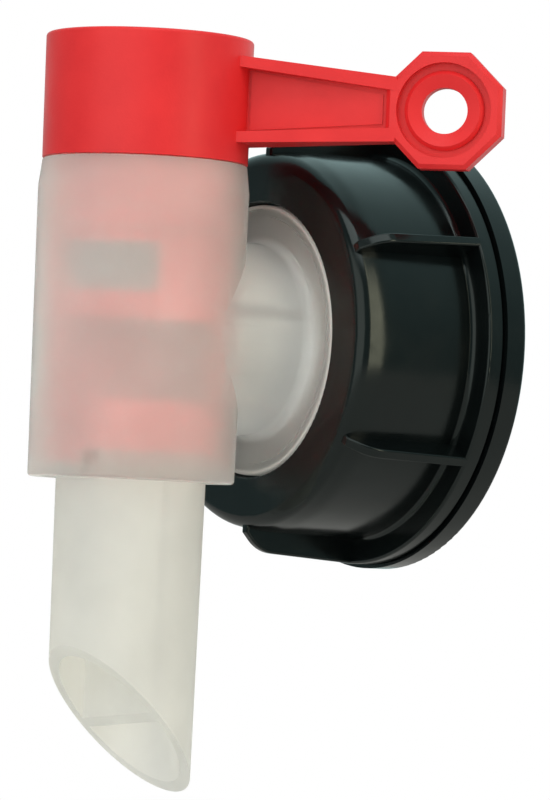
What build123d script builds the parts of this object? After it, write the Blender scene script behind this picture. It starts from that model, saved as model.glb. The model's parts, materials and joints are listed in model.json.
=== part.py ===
"""Dispensing tap for a bag in box or drum: a turning plug in an upright barrel, held by a union cap.

Millimetres, +Z up. The origin is on the neck's axis, on the gasket face that the container's rim
seats on. +Y runs along the neck towards the container, and the spout points down.
"""

import math
import os

from build123d import *

# Fits and allowances shared by several pieces
turning_gap = 0.3  # between pieces that turn on each other, face to face
seat_gap = 0.06  # radial running gap of the plug in its seat
rim_gap = 0.15  # between the plug's head and the barrel's rim
overrun = 30.0  # how far a cutting shape runs past what it cuts

# Container thread in the cap
thread_crest_radius = 29.35
thread_depth = 1.3
thread_pitch = 4.0
thread_groove_width = 1.7
thread_groove_floor_width = 1.0
thread_turns = 3.1  # the groove runs out at the collar, where the container's thread enters
thread_start = 1.9  # first groove, behind the rim's seat

# Gasket and sealing flange, in front of the container's rim
gasket_thickness = 2.0
gasket_outer_radius = 29.0
gasket_inner_radius = 22.5
flange_thickness = 2.8
flange_radius = 29.0
flange_edge_round = 0.4

# Union cap
cap_web_thickness = 2.6
cap_room_radius = 29.9  # the space for flange and gasket, ahead of the thread
cap_proud = 0.4  # front face ahead of the body's disc
cap_drum_front_radius = 30.9
cap_crown_radius = 31.75
cap_crown_length = 4.6
cap_crown_round = 16.0
cap_drum_rear_radius = 32.1
cap_shoulder_round = 2.4
cap_collar_front = 11.3
cap_collar_radius = 36.4
cap_collar_wall = 2.2
cap_collar_web = 2.0
cap_collar_corner_round = 0.5
cap_foot_round = 1.0
cap_band_line = 14.2
cap_band_radius = 37.05
cap_band_line_width = 0.6
cap_band_line_depth = 0.7
cap_rear = 18.4
cap_edge_round = 0.7
cap_mouth_chamfer = 0.6
vane_count = 6
vane_first_angle = 31.8
vane_thickness = 1.7
vane_edge_round = 0.35
vane_toe_inset = 2.0  # behind the drum's front corner, so that the toe starts inside the shoulder
vane_toe_depth = 0.8
vane_nose_length = 0.85
vane_nose_rise = 1.35  # rises are above the thread's root radius
vane_knee_length = 3.85
vane_knee_rise = 4.55
vane_knee_round = 6.5
vane_rear_rise = 5.75

# Body: disc and neck
disc_radius = 22.5
disc_thickness = 2.3
disc_reach = 23.1  # front face of the disc from the barrel's axis
disc_recess_gap = 0.4
disc_groove_outer_radius = 21.8
disc_groove_inner_radius = 20.6
disc_groove_depth = 0.4
disc_edge_round = 0.3
neck_radius = 16.0
neck_foot_round = 1.5
neck_bore_radius = 13.6
neck_partition_height = 3.7
neck_partition_thickness = 1.8

# Body: barrel
barrel_bottom = -24.4
barrel_top = 27.7
barrel_wall = 2.35  # round the seat
barrel_rim_wall = 1.55
barrel_lead_length = 4.6
barrel_floor_thickness = 2.2
barrel_bottom_round = 0.6
barrel_rim_round = 0.4
seat_bottom_radius = 14.55
seat_taper = 0.4  # how much wider the seat is at its top
seat_top = 15.6
bead_groove_depth = 0.65
bead_groove_height = 4.0
lead_bore_step = 0.25
port_half_width = 10.0
port_floor = -11.4
port_land_half_height = 2.1
port_roof = 12.0
vent_half_width = 7.0
port_round = 1.2

# Body: spout
spout_top_radius = 12.25
spout_bottom_radius = 11.85
spout_wall = 1.7
spout_cut_height = -63.5
spout_cut_angle = 44.5
spout_cut_turn = 5.6  # the slant faces forwards and this far towards +X
spout_partition_thickness = 1.4

# Body: the stop inside the barrel's floor
stop_angle = -60.0
stop_half_angle = 6.0
stop_height = 2.0
stop_width = 2.2

# Turning plug
plug_wall = 1.9
plug_bead_height = 3.2
plug_waist_gap = 0.55
plug_top = 48.2
plug_head_flare = 0.2
plug_head_proud = 0.1  # outside the barrel's rim
plug_head_round = 0.6
plug_lid_thickness = 2.4
plug_dish_depth = 0.8
plug_dish_rim = 1.8
plug_shelf_thickness = 1.8
plug_plate_thickness = 1.6
window_floor = -11.7
window_land_bottom = 1.5
window_land_top = 5.8
window_roof = 13.9
flow_window_angles = ((-84.0, 28.0), (137.0, 249.0))
air_window_angles = ((-92.0, -20.0), (144.0, 216.0))
lever_travel = 90.0

# Lever, on the plug's head
lever_angle = 45.0
lever_root_depth = 2.25  # inside the head's side
lever_root_bottom = 30.95
lever_root_top = 45.3
lever_tip_reach = 41.6
lever_tip_bottom = 32.1
lever_tip_top = 42.6
lever_rib_root_height = 1.75
lever_rib_tip_height = 2.25
lever_root_width = 10.9
lever_thickness = 5.0
lever_web_thickness = 2.2
lever_pad_margin = 0.6
lever_pad_height = 0.25
tab_sides = 8
tab_overhang = 7.8  # middle of the tab beyond the lever's tip
tab_height = 37.4
tab_half_width = 9.5
tab_edge_chamfer = 0.7
tab_pocket_radius = 7.75
tab_pocket_depth = 1.5
tab_boss_radius = 6.5
tab_boss_crest_radius = 5.9
tab_boss_shoulder = 0.6
tab_boss_thickness = 4.2
tab_lip_thickness = 2.4
tab_hole_radius = 3.75

# Places that follow from the sizes
flange_rear = -gasket_thickness
flange_front = flange_rear - flange_thickness
web_rear = flange_front - turning_gap
web_front = web_rear - cap_web_thickness
disc_rear = web_front - turning_gap
disc_front = disc_rear - disc_thickness
cap_front = disc_front - cap_proud
barrel_axis = disc_front - disc_reach
barrel_floor = barrel_bottom + barrel_floor_thickness
seat_top_radius = seat_bottom_radius + seat_taper
bead_groove_radius = seat_top_radius + bead_groove_depth
lead_bore_radius = seat_top_radius + lead_bore_step
barrel_bottom_radius = seat_bottom_radius + barrel_wall
barrel_full_radius = seat_top_radius + barrel_wall
barrel_rim_radius = lead_bore_radius + barrel_rim_wall
bead_groove_top = seat_top + bead_groove_height
spout_bore_top_radius = spout_top_radius - spout_wall
plug_bottom = barrel_floor + turning_gap
plug_head_bottom = barrel_top + rim_gap
plug_head_foot_radius = barrel_rim_radius + plug_head_proud
plug_head_top_radius = plug_head_foot_radius + plug_head_flare
plug_bore_radius = seat_bottom_radius - seat_gap - plug_wall
shelf_height = (window_land_bottom + window_land_top) / 2
lever_root_reach = plug_head_foot_radius - lever_root_depth
tab_reach = lever_tip_reach + tab_overhang


def turned(outline, rounds=()):
    """Revolve an outline of (radius, height) points about Z, after rounding the corners named in rounds."""
    profile = Plane.XZ * make_face(Polyline(*outline, close=True))
    for (radius, height), size in rounds:
        corner = profile.vertices().sort_by_distance((radius, 0, height))[0]
        profile = fillet(corner, size)
    return revolve(profile, Axis.Z)


def along_neck(shape):
    """Lay a shape that was made about Z along the neck: its height becomes the place along +Y."""
    return Rot(X=-90) * shape


def at_barrel(shape):
    """Put a shape that was made about Z at the origin on the barrel's axis."""
    return Pos(0, barrel_axis, 0) * shape


def slab(low, high):
    """A box between two opposite corners."""
    size = [b - a for a, b in zip(low, high)]
    middle = [(a + b) / 2 for a, b in zip(low, high)]
    return Pos(*middle) * Box(*size)


def sector(start_angle, end_angle, bottom, top, reach):
    """A wedge about Z between two angles in degrees, out to a radius."""
    middle = (start_angle + end_angle) / 2
    half = math.radians(end_angle - start_angle) / 2
    corner = (reach * math.cos(half), reach * math.sin(half))
    start = (corner[0], -corner[1])
    edges = [Line((0, 0), start), ThreePointArc(start, (reach, 0), corner), Line(corner, (0, 0))]
    face = make_face(edges)
    return Pos(0, 0, bottom) * Rot(Z=middle) * extrude(face, amount=top - bottom)


def seat_radius(height):
    """Radius of the barrel's tapered seat at a height."""
    share = (height - barrel_floor) / (seat_top - barrel_floor)
    return seat_bottom_radius + share * (seat_top_radius - seat_bottom_radius)


def make_barrel_outside():
    """Drafted barrel with a narrower lead at its rim."""
    lead_foot = barrel_top - barrel_lead_length
    outline = [
        (0, barrel_bottom),
        (barrel_bottom_radius, barrel_bottom),
        (barrel_full_radius, lead_foot),
        (barrel_rim_radius, barrel_top),
        (0, barrel_top),
    ]
    rounds = [
        ((barrel_bottom_radius, barrel_bottom), barrel_bottom_round),
        ((barrel_rim_radius, barrel_top), barrel_rim_round),
    ]
    return turned(outline, rounds)


def make_barrel_inside():
    """The bore: tapered seat, groove for the plug's snap bead, and the lead above it."""
    outline = [
        (0, barrel_floor),
        (seat_bottom_radius, barrel_floor),
        (seat_top_radius, seat_top),
        (bead_groove_radius, seat_top + bead_groove_radius - seat_top_radius),
        (bead_groove_radius, bead_groove_top - (bead_groove_radius - lead_bore_radius)),
        (lead_bore_radius, bead_groove_top),
        (lead_bore_radius, barrel_top + overrun),
        (0, barrel_top + overrun),
    ]
    return turned(outline)


def make_spout():
    """Spout tube with a central wall that parts the air from the liquid, cut off at a slant."""
    lowest = spout_cut_height - spout_top_radius * math.tan(math.radians(spout_cut_angle))
    tube = turned(
        [
            (0, lowest),
            (spout_bottom_radius, lowest),
            (spout_top_radius, barrel_bottom),
            (spout_top_radius, barrel_floor),
            (0, barrel_floor),
        ]
    )
    bore = turned(
        [
            (0, lowest),
            (spout_bottom_radius - spout_wall, lowest),
            (spout_bore_top_radius, barrel_floor),
            (0, barrel_floor),
        ]
    )
    half_wall = spout_partition_thickness / 2
    wide = spout_top_radius
    wall = slab((-wide, -half_wall, lowest), (wide, half_wall, barrel_floor))
    channels = bore - wall
    cutter = Box(2 * overrun, 2 * overrun, overrun, align=(Align.CENTER, Align.CENTER, Align.MAX))
    slant = Pos(0, 0, spout_cut_height) * Rot(Z=spout_cut_turn) * Rot(X=-spout_cut_angle) * cutter
    return tube - slant, channels


def make_neck():
    """Neck tube with the disc that the cap turns behind, made along the neck."""
    reach = disc_rear - barrel_axis
    front = disc_front - barrel_axis
    rear = flange_rear - barrel_axis
    outline = [
        (0, 0),
        (neck_radius, 0),
        (neck_radius, front),
        (disc_groove_inner_radius, front),
        (disc_groove_inner_radius, front + disc_groove_depth),
        (disc_groove_outer_radius, front + disc_groove_depth),
        (disc_groove_outer_radius, front),
        (disc_radius, front),
        (disc_radius, reach),
        (neck_radius, reach),
        (neck_radius, rear),
        (0, rear),
    ]
    rounds = [
        ((neck_radius, front), neck_foot_round),
        ((disc_radius, front), disc_edge_round),
        ((disc_radius, reach), disc_edge_round),
    ]
    return along_neck(turned(outline, rounds))


def make_neck_passages():
    """Liquid passage below and air passage above the neck's partition, behind the barrel's wall."""
    rear = flange_rear - barrel_axis
    bore = along_neck(Cylinder(neck_bore_radius, rear + overrun, align=(Align.CENTER, Align.CENTER, Align.MIN)))
    half = neck_partition_thickness / 2
    low = (-neck_bore_radius, 0, neck_partition_height - half)
    high = (neck_bore_radius, rear + overrun, neck_partition_height + half)
    return bore - slab(low, high)


def make_ports():
    """The two windows in the barrel's wall: liquid below, air above."""
    land_bottom = neck_partition_height - port_land_half_height
    land_top = neck_partition_height + port_land_half_height
    flow_height = land_bottom - port_floor
    air_height = port_roof - land_top
    flow = RectangleRounded(2 * port_half_width, flow_height, port_round)
    air = RectangleRounded(2 * vent_half_width, air_height, port_round)
    face_out = Plane.XZ
    flow_cut = extrude(face_out * Pos(0, port_floor + flow_height / 2) * flow, amount=-barrel_full_radius)
    air_cut = extrude(face_out * Pos(0, land_top + air_height / 2) * air, amount=-barrel_full_radius)
    return flow_cut + air_cut


def make_stop():
    """Lug on the barrel's floor that the plug's notch runs on."""
    reach = seat_radius(barrel_floor) + seat_gap
    wedge = sector(
        stop_angle - stop_half_angle,
        stop_angle + stop_half_angle,
        barrel_floor,
        barrel_floor + stop_height,
        reach,
    )
    return wedge - Pos(0, 0, barrel_floor) * Cylinder(reach - stop_width, overrun)


def make_tap_body():
    """Barrel, spout, neck and disc, moulded in one."""
    spout, channels = make_spout()
    body = make_barrel_outside() + make_neck() + spout
    inner_barrel = Cylinder(barrel_bottom_radius, barrel_top - barrel_bottom, align=(Align.CENTER, Align.CENTER, Align.MIN))
    body -= make_neck_passages() - Pos(0, 0, barrel_bottom) * inner_barrel
    body -= make_ports()
    body -= make_barrel_inside()
    body -= channels
    body += make_stop()
    return at_barrel(body)


def make_sealing_flange():
    """Ring welded on the neck's end, which the cap pulls against the container's rim."""
    outline = [
        (neck_radius, flange_front),
        (flange_radius, flange_front),
        (flange_radius, flange_rear),
        (neck_radius, flange_rear),
    ]
    rounds = [
        ((flange_radius, flange_front), flange_edge_round),
        ((flange_radius, flange_rear), flange_edge_round),
    ]
    return along_neck(turned(outline, rounds))


def make_gasket():
    """Flat ring on the flange's rear face, trapped behind the cap's thread."""
    outline = [
        (gasket_inner_radius, flange_rear),
        (gasket_outer_radius, flange_rear),
        (gasket_outer_radius, 0),
        (gasket_inner_radius, 0),
    ]
    return along_neck(turned(outline))


def make_cap_shell():
    """Front web, drum, and the wider collar with its line, as one outline."""
    room_front = cap_collar_front + cap_collar_web
    room_radius = cap_collar_radius - cap_collar_wall
    ramp = room_radius - thread_crest_radius
    line_half = cap_band_line_width / 2
    line_floor = cap_collar_radius - cap_band_line_depth
    recess_radius = disc_radius + disc_recess_gap
    outline = [
        (neck_radius + turning_gap, web_front),
        (recess_radius, web_front),
        (recess_radius, cap_front),
        (cap_drum_front_radius, cap_front),
        (cap_crown_radius, cap_front + cap_crown_length),
        (cap_drum_rear_radius, cap_collar_front),
        (cap_collar_radius, cap_collar_front),
        (cap_collar_radius, cap_band_line - line_half),
        (line_floor, cap_band_line - line_half),
        (line_floor, cap_band_line + line_half),
        (cap_band_radius, cap_band_line + line_half),
        (cap_band_radius, cap_rear),
        (room_radius + cap_mouth_chamfer, cap_rear),
        (room_radius, cap_rear - cap_mouth_chamfer),
        (room_radius, room_front),
        (thread_crest_radius + ramp / 2, room_front),
        (thread_crest_radius, room_front - cap_mouth_chamfer),
        (thread_crest_radius, 0),
        (cap_room_radius, 0),
        (cap_room_radius, web_rear),
        (neck_radius + turning_gap, web_rear),
    ]
    rounds = [
        ((recess_radius, cap_front), disc_edge_round),
        ((cap_drum_front_radius, cap_front), cap_shoulder_round),
        ((cap_crown_radius, cap_front + cap_crown_length), cap_crown_round),
        ((cap_drum_rear_radius, cap_collar_front), cap_foot_round),
        ((cap_collar_radius, cap_collar_front), cap_collar_corner_round),
        ((cap_band_radius, cap_rear), cap_edge_round),
    ]
    return turned(outline, rounds)


def make_vane():
    """One grip vane, standing radially on the drum from the shoulder to the collar."""
    root = thread_crest_radius + thread_depth
    toe = cap_drum_front_radius - vane_toe_inset
    foot = cap_collar_front + cap_collar_web / 2
    nose = cap_front + vane_nose_length
    knee = (root + vane_knee_rise, cap_front + vane_knee_length)
    outline = [
        (root, nose + vane_toe_depth),
        (toe, nose + vane_toe_depth),
        (toe, nose),
        (root + vane_nose_rise, nose),
        knee,
        (root + vane_rear_rise, foot),
        (root, foot),
    ]
    face = Plane.XZ * make_face(Polyline(*outline, close=True))
    knee_corner = face.vertices().sort_by_distance((knee[0], 0, knee[1]))[0]
    vane = extrude(fillet(knee_corner, vane_knee_round), amount=vane_thickness / 2, both=True)
    rim = []
    for edge in vane.edges().filter_by(Axis.Y, reverse=True):
        middle = edge.position_at(0.5)
        at_nose = middle.Z < nose + vane_toe_depth / 4
        at_rim = root + vane_edge_round < middle.X and middle.Z < cap_collar_front
        if at_nose or at_rim:
            rim.append(edge)
    return fillet(rim, vane_edge_round)


def make_thread_groove():
    """Helical groove of the container thread, about Z, cut into the crest bore."""
    helix = Helix(thread_pitch, thread_pitch * thread_turns, thread_crest_radius)
    half = thread_groove_width / 2
    floor_half = thread_groove_floor_width / 2
    flank_slope = (half - floor_half) / thread_depth
    entry = thread_depth / 2
    entry_half = half + entry * flank_slope
    section = Polygon(
        (-entry, -entry_half),
        (thread_depth, -floor_half),
        (thread_depth, floor_half),
        (-entry, entry_half),
        align=None,
    )
    start = Plane(origin=helix @ 0, x_dir=(1, 0, 0), z_dir=helix % 0)
    groove = sweep(start * section, path=helix, is_frenet=True)
    return Pos(0, 0, thread_start) * groove


def make_screw_cap():
    """Union cap: drum with vanes outside, container thread inside, turning on the neck."""
    cap = make_cap_shell()
    for index in range(vane_count):
        angle = vane_first_angle + index * 360 / vane_count
        cap += Rot(Z=angle) * make_vane()
    cap -= make_thread_groove()
    return along_neck(cap)


def make_plug_shell():
    """Hollow plug: tapered in the seat, waisted above it, with the head over the barrel's rim."""
    bottom_radius = seat_radius(plug_bottom) - seat_gap
    top_radius = seat_top_radius - seat_gap
    bead_radius = bead_groove_radius - turning_gap
    waist_radius = lead_bore_radius - plug_waist_gap
    bead_top = seat_top + plug_bead_height
    lid_floor = plug_top - plug_dish_depth
    dish_radius = plug_head_top_radius - plug_dish_rim
    outline = [
        (plug_bore_radius, plug_bottom),
        (bottom_radius, plug_bottom),
        (top_radius, seat_top),
        (bead_radius, seat_top + bead_groove_radius - seat_top_radius),
        (bead_radius, bead_top - (bead_radius - waist_radius)),
        (waist_radius, bead_top),
        (waist_radius, plug_head_bottom),
        (plug_head_foot_radius, plug_head_bottom),
        (plug_head_top_radius, plug_top),
        (dish_radius, plug_top),
        (dish_radius - plug_dish_depth, lid_floor),
        (0, lid_floor),
        (0, lid_floor - plug_lid_thickness),
        (plug_bore_radius, lid_floor - plug_lid_thickness),
    ]
    rounds = [
        ((plug_head_top_radius, plug_top), plug_head_round),
        ((plug_bore_radius, lid_floor - plug_lid_thickness), plug_head_round),
    ]
    return turned(outline, rounds)


def make_plug_partition():
    """Upright plate and half shelf inside the plug, which keep the air from the liquid."""
    core = Cylinder(plug_bore_radius + plug_wall / 2, plug_top - plug_bottom, align=(Align.CENTER, Align.CENTER, Align.MIN))
    half = plug_plate_thickness / 2
    reach = plug_bore_radius + plug_wall
    shelf_top = shelf_height + plug_shelf_thickness / 2
    shelf_bottom = shelf_height - plug_shelf_thickness / 2
    plate = slab((-half, -reach, plug_bottom), (half, reach, shelf_top))
    shelf = slab((-reach, -reach, shelf_bottom), (0, reach, shelf_top))
    return (plate + shelf) & (Pos(0, 0, plug_bottom) * core)


def make_windows():
    """Wedges that open the plug's wall: liquid windows below the land, air windows above it."""
    reach = seat_top_radius + overrun
    cuts = []
    for start, end in flow_window_angles:
        cuts.append(sector(start, end, window_floor, window_land_bottom, reach))
    for start, end in air_window_angles:
        cuts.append(sector(start, end, window_land_top, window_roof, reach))
    core_height = plug_top - plug_bottom
    core = Cylinder(plug_bore_radius, core_height, align=(Align.CENTER, Align.CENTER, Align.MIN))
    kept = Pos(0, 0, plug_bottom) * core
    return [cut - kept for cut in cuts]


def make_stop_notch():
    """Arc cut in the plug's lower edge, as long as the lug and the lever's travel."""
    play = math.degrees(turning_gap / seat_bottom_radius)
    start = stop_angle - stop_half_angle - play
    end = stop_angle + stop_half_angle + play + lever_travel
    top = barrel_floor + stop_height + turning_gap
    reach = seat_top_radius + overrun
    inner = seat_radius(barrel_floor) + seat_gap - stop_width - turning_gap
    wedge = sector(start, end, plug_bottom - overrun, top, reach)
    return wedge - Pos(0, 0, plug_bottom) * Cylinder(inner, 2 * overrun)


def side_outline(points):
    """A face in the lever's upright plane from (reach, height) points."""
    return Plane.XZ * make_face(Polyline(*points, close=True))


def lever_points(root_inset, tip_inset):
    """The lever's tapered outline, with its top and bottom moved inwards at the root and at the tip."""
    return [
        (lever_root_reach, lever_root_bottom + root_inset),
        (lever_tip_reach, lever_tip_bottom + tip_inset),
        (lever_tip_reach, lever_tip_top - tip_inset),
        (lever_root_reach, lever_root_top - root_inset),
    ]


def lever_ribs():
    """Top and bottom flanges along the lever, wide where they meet the head and as thick as the tab at it."""
    root_half = lever_root_width / 2
    tip_half = lever_thickness / 2
    plan_points = [
        (lever_root_reach, -root_half),
        (lever_tip_reach, -tip_half),
        (lever_tip_reach, tip_half),
        (lever_root_reach, root_half),
    ]
    plan = extrude(make_face(Polyline(*plan_points, close=True)), amount=plug_top)
    edges = [(lever_root_bottom, lever_tip_bottom, 1), (lever_root_top, lever_tip_top, -1)]
    ribs = []
    for root, tip, way in edges:
        points = [
            (lever_root_reach, root),
            (lever_tip_reach, tip),
            (lever_tip_reach, tip + way * lever_rib_tip_height),
            (lever_root_reach, root + way * lever_rib_root_height),
        ]
        ribs.append(extrude(side_outline(points), amount=root_half, both=True) & plan)
    return ribs


def make_boss():
    """Round boss in the tab, made about Z, whose faces dish towards the hole."""
    crest = tab_boss_thickness / 2
    lip = tab_lip_thickness / 2
    shoulder = crest - tab_boss_shoulder
    outline = [
        (0, -lip),
        (tab_hole_radius, -lip),
        (tab_boss_crest_radius, -crest),
        (tab_boss_radius, -shoulder),
        (tab_boss_radius, shoulder),
        (tab_boss_crest_radius, crest),
        (tab_hole_radius, lip),
        (0, lip),
    ]
    return turned(outline)


def make_tab():
    """Eight-sided tab at the lever's end, with a ring groove on each face and a hole for a lock or seal."""
    outline = RegularPolygon(tab_half_width, tab_sides, major_radius=False, rotation=180 / tab_sides)
    blank = extrude(outline, amount=lever_thickness / 2, both=True)
    rim_edges = blank.edges().filter_by(Axis.Z, reverse=True)
    tab = chamfer(rim_edges, tab_edge_chamfer)
    pocket_floor = lever_thickness / 2 - tab_pocket_depth
    pocket = Cylinder(tab_pocket_radius, overrun, align=(Align.CENTER, Align.CENTER, Align.MIN))
    front_pocket = Pos(0, 0, pocket_floor) * pocket
    tab -= front_pocket
    tab -= Rot(X=180) * front_pocket
    tab += make_boss()
    tab -= Cylinder(tab_hole_radius, overrun)
    return Pos(tab_reach, 0, tab_height) * Rot(X=90) * tab


def make_lever():
    """Flat web between two ribs, a plain raised pad on each side, and the tab at the end."""
    web = extrude(side_outline(lever_points(0, 0)), amount=lever_web_thickness / 2, both=True)
    root_inset = lever_rib_root_height + lever_pad_margin
    pad_points = lever_points(root_inset, lever_rib_tip_height + lever_pad_margin)
    head_reach = plug_head_foot_radius + lever_pad_margin
    tab_edge = tab_reach - tab_half_width - lever_pad_margin
    pad_points = [(min(max(x, head_reach), tab_edge), z) for x, z in pad_points]
    pad = extrude(side_outline(pad_points), amount=lever_web_thickness / 2 + lever_pad_height, both=True)
    lever = web + pad
    for rib in lever_ribs():
        lever += rib
    lever += make_tab()
    return Rot(Z=lever_angle) * lever


def make_turning_plug():
    """Plug, head and lever, moulded in one. It stands closed, with its blank side at the neck."""
    plug = make_plug_shell()
    plug += make_plug_partition()
    for window in make_windows():
        plug -= window
    plug -= make_stop_notch()
    plug += make_lever()
    return at_barrel(plug)


def main():
    os.makedirs("parts", exist_ok=True)
    pieces = {
        "tap_body": make_tap_body(),
        "sealing_flange": make_sealing_flange(),
        "container_gasket": make_gasket(),
        "screw_cap": make_screw_cap(),
        "turning_plug": make_turning_plug(),
    }
    for name, piece in pieces.items():
        export_step(piece, f"parts/{name}.step")


main()
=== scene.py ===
# %% [markdown]
# A dispensing tap in Blender
#
# The tap has three colours of moulded polyethylene: a natural body, a red turning plug with its
# lever, and a black union cap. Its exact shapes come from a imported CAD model. This lesson gives them
# smooth shading, the small marks that moulding and welding leave, true plastics, a camera and light.

# %% Load the frame
import json
import math

import bmesh
import bpy
import numpy as np
from mathutils import Matrix, Vector

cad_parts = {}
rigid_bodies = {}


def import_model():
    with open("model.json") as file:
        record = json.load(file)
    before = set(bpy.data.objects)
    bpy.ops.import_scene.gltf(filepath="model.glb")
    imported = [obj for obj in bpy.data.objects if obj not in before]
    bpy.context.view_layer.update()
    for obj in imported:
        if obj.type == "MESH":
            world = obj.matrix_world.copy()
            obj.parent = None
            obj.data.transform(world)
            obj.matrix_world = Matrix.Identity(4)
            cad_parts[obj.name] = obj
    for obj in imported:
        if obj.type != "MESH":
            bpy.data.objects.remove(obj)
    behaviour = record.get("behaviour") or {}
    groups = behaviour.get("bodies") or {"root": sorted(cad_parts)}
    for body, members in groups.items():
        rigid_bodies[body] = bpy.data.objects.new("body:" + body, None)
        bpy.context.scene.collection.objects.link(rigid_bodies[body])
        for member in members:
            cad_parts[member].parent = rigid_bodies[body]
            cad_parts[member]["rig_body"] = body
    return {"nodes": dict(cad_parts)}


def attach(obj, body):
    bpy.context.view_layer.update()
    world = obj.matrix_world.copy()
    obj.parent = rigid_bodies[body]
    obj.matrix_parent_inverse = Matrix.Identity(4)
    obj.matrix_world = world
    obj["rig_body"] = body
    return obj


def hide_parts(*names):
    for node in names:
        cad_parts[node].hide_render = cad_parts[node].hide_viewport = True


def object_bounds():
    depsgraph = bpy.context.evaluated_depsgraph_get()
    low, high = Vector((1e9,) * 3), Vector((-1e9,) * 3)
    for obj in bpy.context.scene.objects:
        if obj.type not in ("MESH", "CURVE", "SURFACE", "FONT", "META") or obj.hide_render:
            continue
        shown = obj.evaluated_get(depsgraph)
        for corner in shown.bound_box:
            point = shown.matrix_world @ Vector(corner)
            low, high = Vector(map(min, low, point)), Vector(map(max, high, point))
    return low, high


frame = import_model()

cad_low, cad_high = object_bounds()
print("CAD box, mm:", [round(1000 * (b - a), 1) for a, b in zip(cad_low, cad_high)])

# %% [markdown]
# Millimetres and named places
#
# The frame is in metres, and drawings of a tap are in millimetres, so one constant turns one into the
# other. The neck's axis is the frame's Y axis. The barrel stands upright, a little way in front of the
# container, and the small marks and the camera are placed from those two lines.

# %% Places
MM = 0.001
BARREL_Y = -33.4 * MM
NECK_END_Y = -2.0 * MM
DISC_MIDDLE_Y = -9.15 * MM
DISC_RADIUS = 22.5 * MM
SPOUT_TOP = -24.4 * MM
NECK_RADIUS = 16.0 * MM
LID_TOP = 47.4 * MM
print("barrel axis at Y", BARREL_Y)

# %% [markdown]
# Colours
#
# A colour picked from a screen is an sRGB hex value. Shaders work in linear light, so one function
# turns the first into the second, and every colour below is written the way it looks.


# %% From sRGB hex to linear
def linear(hex_colour):
    """Each channel c becomes c/12.92 below 0.04045, and ((c + 0.055)/1.055)^2.4 above it."""
    channels = np.array([int(hex_colour[i : i + 2], 16) for i in (0, 2, 4)]) / 255
    low = channels / 12.92
    high = ((channels + 0.055) / 1.055) ** 2.4
    return (*np.where(channels > 0.04045, high, low).tolist(), 1.0)


WHITE = linear("FFFFFF")
print("linear red:", [round(c, 3) for c in linear("DF2B2D")])

# %% [markdown]
# Nodes
#
# A material is a small network. One function adds a node, sets its options and wires or fills its
# inputs, and a few short ones use it for the patterns that come back. So each material below reads
# from top to bottom like a recipe.


# %% Add one node, and the patterns made with it
def add_node(tree, kind, inputs=None, **options):
    """Adds a node of that kind. An input is either a socket to link from or a plain value."""
    node = tree.nodes.new(kind)
    for name, value in options.items():
        setattr(node, name, value)
    for name, value in (inputs or {}).items():
        if isinstance(value, bpy.types.NodeSocket):
            tree.links.new(value, node.inputs[name])
        else:
            node.inputs[name].default_value = value
    return node


def new_material(name):
    """An empty node material, with its output node."""
    material = bpy.data.materials.new(name)
    material.use_nodes = True
    material.node_tree.nodes.clear()
    output = material.node_tree.nodes.new("ShaderNodeOutputMaterial")
    return material, material.node_tree, output


def per_metre(millimetres):
    """The scale that gives a pattern cells of that size, on coordinates in metres."""
    return 1 / (millimetres * MM)


def noise(tree, place, millimetres, detail, roughness=0.5):
    """Soft random patches about that many millimetres across, as one value."""
    settings = {"Vector": place, "Scale": per_metre(millimetres), "Detail": detail, "Roughness": roughness}
    return add_node(tree, "ShaderNodeTexNoise", settings).outputs["Fac"]


def two_tones(tree, factor, first, second, between=(0.0, 1.0)):
    """A ramp from one sRGB colour to another, between those two values of the factor."""
    ramp = add_node(tree, "ShaderNodeValToRGB", {"Fac": factor})
    for end, colour, position in zip(ramp.color_ramp.elements, (first, second), between):
        end.color, end.position = linear(colour), position
    return ramp.outputs["Color"]


def ranged(tree, value, before, after, **options):
    """Turns the range of values before into the range after, and holds what lies outside at the ends."""
    limits = {"From Min": before[0], "From Max": before[1], "To Min": after[0], "To Max": after[1]}
    return add_node(tree, "ShaderNodeMapRange", {"Value": value, **limits}, **options).outputs["Result"]


def maths(tree, operation, *values):
    """One operation on sockets or numbers."""
    return add_node(tree, "ShaderNodeMath", dict(enumerate(values)), operation=operation).outputs[0]


def bumps(tree, height, strength, depth, under=None):
    """A normal that the height tilts by up to depth, on top of another one if that is given."""
    settings = {"Height": height, "Strength": strength, "Distance": depth}
    if under is not None:
        settings["Normal"] = under
    return add_node(tree, "ShaderNodeBump", settings).outputs["Normal"]


def seen_directly(tree, rays):
    """One for rays of the camera and for those that come through the natural plastic, else nought."""
    return maths(tree, "MAXIMUM", rays.outputs["Is Camera Ray"], rays.outputs["Is Transmission Ray"])


print("a 2 mm grain has scale", per_metre(2))

# %% [markdown]
# Natural polyethylene
#
# The body is high-density polyethylene with no colour added, injection moulded. Uncoloured, it is
# milky and lets light through: the red plug shows through the barrel as a pink blur, and the disc
# looks grey because the black cap is behind it. It could be faked by painting those colours on, but
# then they would not move when the plug turns. Here the wall itself is translucent: most of what meets
# each of its faces goes on through it, blurred, and the rest comes back as a warm white. Less goes
# through the spout, which is milkier than the barrel. Light that runs along inside the disc leaves it
# at its rim, so less goes through there too, and the rim shows as a thin pale line. Lamps can't be
# sampled through such a wall, so for their rays alone it is clear, and what stands inside is lit.


# %% Material: natural polyethylene
# Shares of the light that the wall passes on, and what the disc's rim takes off its share.
BARREL_SHARE, SPOUT_SHARE, RIM_LOSS = 0.8, 0.48, 0.45
# Where those shares change: at the spout's top, and inside the disc's edge.
SPOUT_EDGE = (SPOUT_TOP - 0.2 * MM, SPOUT_TOP + 0.2 * MM)
RIM_EDGE = (DISC_RADIUS - 0.8 * MM, DISC_RADIUS - 0.6 * MM)
# The disc lies no further than this from its middle along Y.
DISC_REACH = 1.5 * MM
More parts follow.
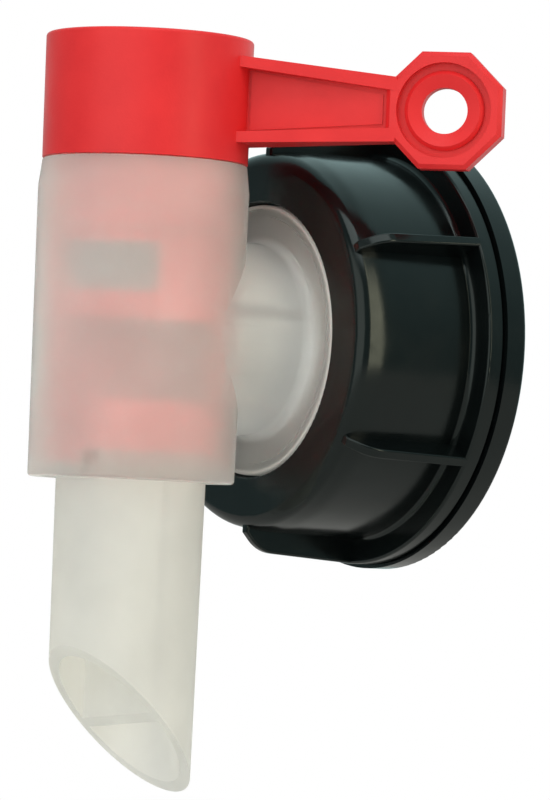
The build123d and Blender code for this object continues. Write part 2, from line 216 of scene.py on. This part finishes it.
# Refraction of the skin, and the share of a lamp's ray that goes straight in.
NATURAL_IOR, LAMP_SHARE = 1.4, 0.95


def light_passed_on(tree, place):
    """How much of the light a wall lets through, by where it is: spout, rim of the disc or elsewhere."""
    spot = add_node(tree, "ShaderNodeSeparateXYZ", {"Vector": place})
    by_height = ranged(tree, spot.outputs["Z"], SPOUT_EDGE, (SPOUT_SHARE, BARREL_SHARE))
    off_axis = add_node(tree, "ShaderNodeVectorMath", {0: place, 1: (1, 0, 1)}, operation="MULTIPLY")
    radius = add_node(tree, "ShaderNodeVectorMath", {0: off_axis.outputs["Vector"]}, operation="LENGTH")
    near_edge = ranged(tree, radius.outputs["Value"], RIM_EDGE, (0.0, RIM_LOSS))
    in_disc = maths(tree, "COMPARE", spot.outputs["Y"], DISC_MIDDLE_Y, DISC_REACH)
    return maths(tree, "SUBTRACT", by_height, maths(tree, "MULTIPLY", near_edge, in_disc))


def natural_polyethylene():
    """Milky, translucent and satin, with faint clouds and the fine texture of a matt mould."""
    material, tree, output = new_material("natural_polyethylene_moulded")
    place = add_node(tree, "ShaderNodeTexCoord").outputs["Object"]
    tone = two_tones(tree, noise(tree, place, 14, detail=3.0), "DDDEDA", "E7E8E4", between=(0.3, 0.7))
    satin = ranged(tree, noise(tree, place, 5, detail=2.0), (0.3, 0.7), (0.8, 0.88))
    # Slow waves, where the wall sank a little as it cooled.
    waves = noise(tree, place, 9, detail=1.0, roughness=0.4)
    sunk = bumps(tree, waves, strength=0.25, depth=0.35 * MM)
    # The mould's spark-eroded grain is about 0.05 mm. It is drawn at 0.5 mm, so that it shows at all.
    grain = noise(tree, place, 0.5, detail=2.0, roughness=0.6)
    skin = bumps(tree, grain, strength=0.15, depth=0.06 * MM, under=sunk)
    plastic = add_node(
        tree,
        "ShaderNodeBsdfPrincipled",
        {
            "Base Color": tone,
            "Roughness": satin,
            "Normal": skin,
            "IOR": NATURAL_IOR,
            "Transmission Weight": light_passed_on(tree, place),
        },
    )
    rays = add_node(tree, "ShaderNodeLightPath")
    let_in = maths(tree, "MULTIPLY", rays.outputs["Is Shadow Ray"], LAMP_SHARE)
    clear = add_node(tree, "ShaderNodeBsdfTransparent", {"Color": WHITE})
    wall = add_node(
        tree, "ShaderNodeMixShader", {0: let_in, 1: plastic.outputs["BSDF"], 2: clear.outputs["BSDF"]}
    )
    tree.links.new(wall.outputs["Shader"], output.inputs["Surface"])
    return material


natural = natural_polyethylene()
print("made", natural.name)

# %% [markdown]
# Red and black polyethylene
#
# The plug and the cap are coloured in the pellet, so the colour goes all through them. Red pigment
# leaves a satin skin with an even colour that is a little deeper in some places. Carbon black leaves
# a glossier skin that shows little but what it mirrors: it turns a cool grey where it faces the room
# and a warm grey in one lamp's streak, and is nearly black elsewhere. One function makes both, from
# their colours and gloss.


# %% Material: coloured polyethylene
def coloured_polyethylene(name, deep, fresh, roughness, grain_strength, ior, shine):
    """Solid colour: two close tones in slow clouds, satin or gloss, with mould grain and fine rubs."""
    material, tree, output = new_material(name)
    place = add_node(tree, "ShaderNodeTexCoord").outputs["Object"]
    clouds = noise(tree, place, 11, detail=4.0, roughness=0.55)
    tone = two_tones(tree, clouds, deep, fresh, between=(0.32, 0.68))
    rubs = noise(tree, place, 6, detail=3.0, roughness=0.6)
    rubbed = ranged(tree, rubs, (0.3, 0.7), (roughness - 0.03, roughness + 0.05))
    waves = noise(tree, place, 8, detail=1.0, roughness=0.4)
    sunk = bumps(tree, waves, strength=0.3, depth=0.3 * MM)
    # Grain of the mould, drawn at 0.4 mm so that it shows.
    grain = noise(tree, place, 0.4, detail=2.0, roughness=0.6)
    skin = bumps(tree, grain, strength=grain_strength, depth=0.05 * MM, under=sunk)
    plastic = add_node(
        tree,
        "ShaderNodeBsdfPrincipled",
        {"Base Color": tone, "Roughness": rubbed, "Normal": skin, "IOR": ior, "Specular Tint": linear(shine)},
    )
    tree.links.new(plastic.outputs["BSDF"], output.inputs["Surface"])
    return material


red = coloured_polyethylene(
    "red_polyethylene_moulded",
    deep="D42428",
    fresh="DF2B2D",
    roughness=0.42,
    grain_strength=0.45,
    ior=1.37,
    shine="FFFFFF",
)
black = coloured_polyethylene(
    "black_polyethylene_moulded",
    deep="06090A",
    fresh="090E0E",
    roughness=0.18,
    grain_strength=0.15,
    ior=1.41,
    shine="F0FFFC",
)
print("made", red.name, "and", black.name)

# %% [markdown]
# Gasket foam
#
# The flat ring behind the cap is die-cut from a sheet of white foamed polyethylene. Its cells are
# tenths of a millimetre across, and they make the face dull and finely dimpled. Voronoi cells give
# that shape directly, so they drive both the bump and the small change of tone.


# %% Material: gasket foam
def gasket_foam():
    """Dull white with round cells of about 0.6 mm."""
    material, tree, output = new_material("foamed_polyethylene_sheet")
    place = add_node(tree, "ShaderNodeTexCoord").outputs["Object"]
    cells = add_node(tree, "ShaderNodeTexVoronoi", {"Vector": place, "Scale": per_metre(0.6)})
    to_middle = cells.outputs["Distance"]
    foam = add_node(
        tree,
        "ShaderNodeBsdfPrincipled",
        {
            "Base Color": two_tones(tree, to_middle, "F0EFEA", "D9D7CE"),
            "Normal": bumps(tree, to_middle, strength=0.5, depth=0.12 * MM),
            "Roughness": 0.75,
            "IOR": 1.45,
        },
    )
    tree.links.new(foam.outputs["BSDF"], output.inputs["Surface"])
    return material


foam = gasket_foam()
print("made", foam.name)

# %% [markdown]
# Smooth shading for the CAD pieces
#
# A CAD node arrives as loose triangles, which is right for its shape, but each triangle shades flat.
# It could be built again as a grid, but the exact shape is already there. So each node is copied, the
# copy's corners are merged, and edges sharper than an angle stay crisp while the rest turn smooth. A
# Weighted Normal modifier keeps big flat faces flat beside small rounds.


# %% Copy a node with smooth shading
CRISP_DEGREES = 32
MERGE_DISTANCE = 0.001 * MM


def smooth_piece(node, name, material):
    """Merges the corners that meet, and marks edges sharper than CRISP_DEGREES."""
    source = frame["nodes"][node]
    shell = bmesh.new()
    shell.from_mesh(source.data)
    bmesh.ops.remove_doubles(shell, verts=shell.verts, dist=MERGE_DISTANCE)
    mesh = bpy.data.meshes.new(name)
    shell.to_mesh(mesh)
    shell.free()
    # The triangles' own normals don't fit the merged corners, so they go before new ones are worked out.
    loose_normals = mesh.attributes.get("custom_normal")
    if loose_normals:
        mesh.attributes.remove(loose_normals)
    mesh.shade_smooth()
    mesh.set_sharp_from_angle(angle=math.radians(CRISP_DEGREES))
    mesh.materials.clear()
    mesh.materials.append(material)
    piece = bpy.data.objects.new(name, mesh)
    bpy.context.scene.collection.objects.link(piece)
    flat = piece.modifiers.new("flat_faces", "WEIGHTED_NORMAL")
    flat.keep_sharp = True
    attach(piece, source["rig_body"])
    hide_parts(node)
    print(name, len(mesh.vertices), "corners,", len(mesh.polygons), "faces")


# %% [markdown]
# The body, the plug and the cap
#
# The body is one moulding: barrel, spout, neck and disc. The sealing flange is the same plastic,
# welded behind the cap. The plug and its lever are one red moulding, and the cap with its vanes and
# thread one black moulding.

# %% Dress the pieces
smooth_piece("tap_body", "natural_body", natural)
smooth_piece("sealing_flange", "welded_flange", natural)
smooth_piece("container_gasket", "foam_gasket", foam)
smooth_piece("turning_plug", "red_plug_and_lever", red)
smooth_piece("screw_cap", "black_union_cap", black)

# %% [markdown]
# Grids of points
#
# Small added pieces are surfaces worked out as whole arrays: one parameter runs round and one runs
# along, and the result is a grid of points. A grid that closes on itself joins its last column to its
# first, so no seam stays open.


# %% From a grid of points to a piece
GRID_MERGE_DISTANCE = 0.0005 * MM


def grid_piece(name, points, material, body, closed_rows=False):
    """points has shape (rows, columns, 3). Faces join neighbours, the last column to the first, and with
    closed_rows the last row to the first."""
    rows, columns, _ = points.shape
    here = np.arange(rows * columns).reshape(rows, columns)
    right = np.roll(here, -1, axis=1)
    below, below_right = np.roll(here, -1, axis=0), np.roll(right, -1, axis=0)
    quads = np.stack([here, right, below_right, below], axis=-1)
    if not closed_rows:
        quads = quads[:-1]
    faces = quads.reshape(-1, 4).tolist()
    mesh = bpy.data.meshes.new(name)
    mesh.from_pydata(points.reshape(-1, 3).tolist(), [], faces)
    shell = bmesh.new()
    shell.from_mesh(mesh)
    bmesh.ops.remove_doubles(shell, verts=shell.verts, dist=GRID_MERGE_DISTANCE)
    bmesh.ops.recalc_face_normals(shell, faces=shell.faces)
    shell.to_mesh(mesh)
    shell.free()
    mesh.shade_smooth()
    mesh.materials.append(material)
    piece = bpy.data.objects.new(name, mesh)
    bpy.context.scene.collection.objects.link(piece)
    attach(piece, body)
    print(name, len(mesh.vertices), "corners,", len(mesh.polygons), "faces")


# %% [markdown]
# The weld round the neck's end
#
# The flange is joined to the neck by spinning or a hot plate, which squeezes out a thin uneven bead
# of plastic. A plain ring would look like an O-ring, so the bead's thickness and width wander a
# little as it goes round.


# %% Weld bead
def full_turn(steps):
    """Angles once round, without the last one, which is the first again."""
    return np.linspace(0, 2 * np.pi, steps, endpoint=False)


def weld_bead(radius, y, bead, lumps, seed):
    """A ring of round section, radius + size cos v out and size sin v along Y, where the size wanders
    with u: bead (1 + lumps * a sum of waves that fit 3 to 34 times in a turn)."""
    u, v = full_turn(180)[None, :], full_turn(12)[:, None]
    rng = np.random.default_rng(seed)
    orders = np.array([3, 5, 8, 13, 21, 34])
    phases, weights = rng.uniform(0, 2 * np.pi, len(orders)), rng.uniform(0.3, 1.0, len(orders))
    wander = (weights[:, None, None] * np.sin(orders[:, None, None] * u + phases[:, None, None])).sum(0)
    size = bead * (1 + lumps * wander / weights.sum())
    ring = radius + size * np.cos(v)
    return np.stack([ring * np.cos(u), y + size * np.sin(v), ring * np.sin(u)], axis=-1)


grid_piece(
    "weld_bead_rear",
    weld_bead(NECK_RADIUS, NECK_END_Y, bead=0.35 * MM, lumps=0.35, seed=4),
    natural,
    "tap",
    closed_rows=True,
)

# %% [markdown]
# The gate mark on the plug's head
#
# Plastic enters the mould through a small hole, the gate, in the middle of the plug's lid. Where it
# breaks off it leaves a low nub with a rough top inside a shallow ring. It is a profile turned about
# the barrel's axis.


# %% Gate mark
def turned_grid(profile, centre, steps=64):
    """A profile of (radius, height) turned about an upright line: x = r cos u, y = r sin u, z = h."""
    u = full_turn(steps)[None, :]
    r, h = profile[:, 0][:, None], profile[:, 1][:, None]
    ones = np.ones_like(u)
    return np.stack([centre[0] + r * np.cos(u), centre[1] + r * np.sin(u), h * ones], axis=-1)


# Radius and height above the lid, in millimetres.
nub = np.array([[0, 0.42], [0.7, 0.42], [0.95, 0.36], [1.05, 0.2], [1.15, 0.05], [1.6, 0.02], [1.9, -0.1]])
nub_profile = np.column_stack([nub[:, 0] * MM, LID_TOP + nub[:, 1] * MM])
grid_piece(
    "gate_mark_on_head",
    turned_grid(nub_profile, (0, BARREL_Y)),
    red,
    "plug",
)

# %% [markdown]
# Floor and background
#
# The photo shows the tap cut out on white. The tap hangs from its container, so the floor lies below
# the spout, pale and matt, and only catches a soft shadow. A camera that looks at it sees mostly
# white light of its own, mixed with the lit surface, so the shadow stays. The floor is a round plate,
# and its own share of light grows to all of it at the rim, so that it runs into the white background
# without an edge.

# %% Floor
FLOOR_RADIUS = 600 * MM
FLOOR_DROP = 60 * MM
FADE_START, FADE_END = 0.25 * FLOOR_RADIUS, 0.95 * FLOOR_RADIUS
OWN_LIGHT_IN_MIDDLE = 0.62
floor_mesh = bpy.data.meshes.new("floor")
floor_height = cad_low.z - FLOOR_DROP
turn = full_turn(96)
heights = np.full_like(turn, floor_height)
rim = np.stack([FLOOR_RADIUS * np.cos(turn), FLOOR_RADIUS * np.sin(turn), heights], axis=-1)
floor_mesh.from_pydata(rim.tolist(), [], [list(range(len(rim)))])
floor = bpy.data.objects.new("floor", floor_mesh)
bpy.context.scene.collection.objects.link(floor)
floor_paint, floor_tree, floor_output = new_material("pale_floor")
floor_seen = seen_directly(floor_tree, add_node(floor_tree, "ShaderNodeLightPath"))
floor_place = add_node(floor_tree, "ShaderNodeTexCoord").outputs["Object"]
level = add_node(floor_tree, "ShaderNodeVectorMath", {0: floor_place, 1: (1, 1, 0)}, operation="MULTIPLY")
out = add_node(floor_tree, "ShaderNodeVectorMath", {0: level.outputs["Vector"]}, operation="LENGTH")
own_light = ranged(
    floor_tree,
    out.outputs["Value"],
    (FADE_START, FADE_END),
    (OWN_LIGHT_IN_MIDDLE, 1.0),
    interpolation_type="SMOOTHSTEP",
)
floor_share = maths(floor_tree, "MULTIPLY", floor_seen, own_light)
floor_tone = two_tones(floor_tree, noise(floor_tree, floor_place, 25, detail=2.0), "C2C4C2", "C8CAC8")
floor_matt = add_node(floor_tree, "ShaderNodeBsdfDiffuse", {"Color": floor_tone})
floor_white = add_node(floor_tree, "ShaderNodeEmission", {"Color": WHITE, "Strength": 1.0})
floor_mix = add_node(
    floor_tree, "ShaderNodeMixShader", {0: floor_share, 1: floor_matt.outputs[0], 2: floor_white.outputs[0]}
)
floor_tree.links.new(floor_mix.outputs[0], floor_output.inputs["Surface"])
floor_mesh.materials.append(floor_paint)
print("floor at", round(floor_height / MM, 1), "mm")

# %% [markdown]
# World
#
# Outside the softboxes the room is dim near the camera and pale and cool behind the object, which is
# what the glossy black cap shows in its reflections. So the glow that lights the object is even and
# soft, and what mirrors see fades from pale at the back to dim at the front. The camera itself sees
# plain white, and so does light that comes through the natural plastic.

# %% World
GLOW_STRENGTH = 0.66
BACK_OF_ROOM = (-0.45, 0.75, 0.45)
MIRROR_DIM, MIRROR_PALE = 0.27, 1.0
MIRROR_PALE_AT = 0.95
world = bpy.data.worlds.new("studio")
bpy.context.scene.world = world
world.use_nodes = True
sky = world.node_tree
sky.nodes.clear()
sky_output = sky.nodes.new("ShaderNodeOutputWorld")
rays = add_node(sky, "ShaderNodeLightPath")
white = add_node(sky, "ShaderNodeBackground", {"Color": WHITE, "Strength": 1.0})
glow = add_node(sky, "ShaderNodeBackground", {"Color": linear("FFFEFB"), "Strength": GLOW_STRENGTH})
direction = add_node(sky, "ShaderNodeTexCoord").outputs["Generated"]
behind = add_node(sky, "ShaderNodeVectorMath", {0: direction, 1: BACK_OF_ROOM}, operation="DOT_PRODUCT")
fade = ranged(sky, behind.outputs["Value"], (0.0, MIRROR_PALE_AT), (MIRROR_DIM, MIRROR_PALE))
mirror = add_node(sky, "ShaderNodeBackground", {"Color": linear("D6FAFA"), "Strength": fade})
lit = add_node(
    sky, "ShaderNodeMixShader", {0: rays.outputs["Is Glossy Ray"], 1: glow.outputs[0], 2: mirror.outputs[0]}
)
shown = add_node(
    sky, "ShaderNodeMixShader", {0: seen_directly(sky, rays), 1: lit.outputs[0], 2: white.outputs[0]}
)
sky.links.new(shown.outputs[0], sky_output.inputs["Surface"])
print("world made")

# %% [markdown]
# Softboxes
#
# The photo's light is broad and frontal: the red head is brightest in its middle, and the cap's
# shoulder carries one tall warm streak. A wide key stands to the left of the camera, and a second
# wide one above lights the tops. A tall, narrow, warm one on the right is what the shoulder mirrors
# as that streak, and a weak one low in front opens the shadows under the lever.


# %% Softboxes
TAP_MIDDLE = Vector((5 * MM, -15 * MM, -10 * MM))


def direction_from(azimuth, elevation):
    """The direction out to that azimuth, in degrees from -Y towards +X, and that elevation."""
    a, e = math.radians(azimuth), math.radians(elevation)
    return Vector((math.sin(a) * math.cos(e), -math.cos(a) * math.cos(e), math.sin(e)))


def softbox(name, azimuth, elevation, distance, size, radiance, colour="FFFFFF", shape="RECTANGLE"):
    """A panel of light aimed at the tap's middle. Its power is radiance times pi times its area. The
    distance and the size are in metres."""
    back = direction_from(azimuth, elevation)
    lamp = bpy.data.lights.new(name, "AREA")
    lamp.shape = shape
    lamp.size, lamp.size_y = size
    fill = math.pi / 4 if shape == "ELLIPSE" else 1.0
    lamp.energy = radiance * math.pi * fill * size[0] * size[1]
    lamp.color = linear(colour)[:3]
    holder = bpy.data.objects.new(name, lamp)
    bpy.context.scene.collection.objects.link(holder)
    holder.location = TAP_MIDDLE + back * distance
    holder.rotation_mode = "QUATERNION"
    holder.rotation_quaternion = back.to_track_quat("Z", "Y")
    print(name, round(lamp.energy, 2), "W")


softbox(
    "wide_key_softbox", azimuth=25, elevation=8, distance=0.8, size=(0.85, 0.8), radiance=1.15, colour="FFFBF4"
)
softbox("wide_top_softbox", azimuth=60, elevation=62, distance=0.8, size=(0.7, 0.5), radiance=2.0)
softbox(
    "narrow_side_softbox",
    azimuth=106,
    elevation=4,
    distance=0.9,
    size=(0.17, 1.8),
    radiance=4.4,
    colour="FFF0D2",
    shape="ELLIPSE",
)
softbox("low_front_softbox", azimuth=60, elevation=-25, distance=0.9, size=(0.6, 0.3), radiance=0.5)

# %% [markdown]
# Camera
#
# The outlines of the barrel, disc and cap rim in the photo fix where the camera stood: a little below
# the tap's middle, 56 degrees round from the front and 82 cm away, with a long lens, and tilted by 2.5
# degrees. The lens in millimetres is the focal length in pixels times the sensor's 36 mm over the
# picture's long side in pixels.

# %% Camera
CAMERA_AZIMUTH = 55.66
CAMERA_ELEVATION = -1.89
CAMERA_ROLL = 2.54
CAMERA_DISTANCE = 817.7 * MM
AIM_RIGHT = 22.99 * MM
AIM_HEIGHT = -10.24 * MM
FOCAL_PIXELS = 5001
LONG_SIDE_PIXELS = 800
SENSOR_MILLIMETRES = 36
back = direction_from(CAMERA_AZIMUTH, CAMERA_ELEVATION)
azimuth = math.radians(CAMERA_AZIMUTH)
level_right = Vector((math.cos(azimuth), math.sin(azimuth), 0))
level_up = back.cross(level_right)
roll = math.radians(CAMERA_ROLL)
right = level_right * math.cos(roll) + level_up * math.sin(roll)
up = level_up * math.cos(roll) - level_right * math.sin(roll)
eye = Vector((0, BARREL_Y, AIM_HEIGHT)) + level_right * AIM_RIGHT + back * CAMERA_DISTANCE
lens = bpy.data.cameras.new("camera")
lens.lens = FOCAL_PIXELS * SENSOR_MILLIMETRES / LONG_SIDE_PIXELS
lens.sensor_width = SENSOR_MILLIMETRES
lens.clip_start, lens.clip_end = 0.05, 50
camera = bpy.data.objects.new("camera", lens)
bpy.context.scene.collection.objects.link(camera)
camera.matrix_world = Matrix(
    (
        (right.x, up.x, back.x, eye.x),
        (right.y, up.y, back.y, eye.y),
        (right.z, up.z, back.z, eye.z),
        (0, 0, 0, 1),
    )
)
bpy.context.scene.camera = camera
print("eye, mm:", [round(c / MM, 1) for c in eye])

# %% [markdown]
# View settings
#
# The Standard view shows a colour as it is written.

# %% Finish
bpy.context.scene.view_settings.view_transform = "Standard"
